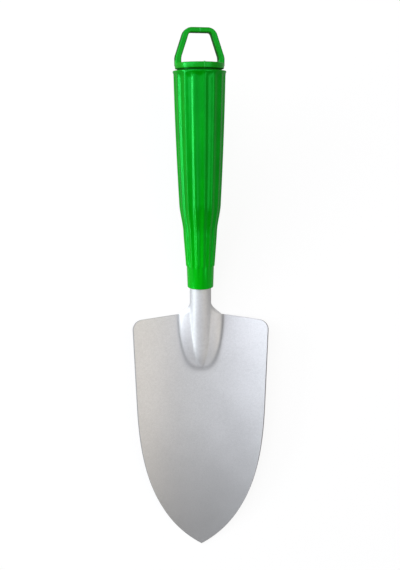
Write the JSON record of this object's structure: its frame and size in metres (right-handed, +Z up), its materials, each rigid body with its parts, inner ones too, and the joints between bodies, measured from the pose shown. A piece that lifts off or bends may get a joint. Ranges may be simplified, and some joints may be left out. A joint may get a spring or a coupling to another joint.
{
  "type": "garden trowel",
  "caption": "Hand trowel with a dished pressed steel blade and rolled neck, a fluted plastic handle and a swivelling hanging loop.",
  "frame": {"origin": "centre of the bottom of the whole trowel's bounding box, on the surface that the blade's back lies on", "axes": "+X across the blade, +Y from the tip of the blade towards the hanging loop, +Z up out of the blade's hollow side"},
  "size_m": [0.0806, 0.2958, 0.0527],
  "materials": {
    "silver_paint": "fine metallic silver paint, satin, over pressed steel sheet",
    "green_grip_plastic": "glossy injection-moulded plastic with long flutes and a smooth collar",
    "green_hanger_plastic": "glossy injection-moulded plastic, lightly rounded edges"
  },
  "bodies": {
    "tool": {"blade": "silver_paint", "handle": "green_grip_plastic"},
    "hanger": {"hanger": "green_hanger_plastic"}
  },
  "joints": [
    {"name": "hanger_swivel", "type": "hinge", "parent": "tool", "child": "hanger", "pos_m": [0, 0.12559, 0.03853], "axis": [0, 0.9681, 0.2504], "continuous": true}
  ]
}
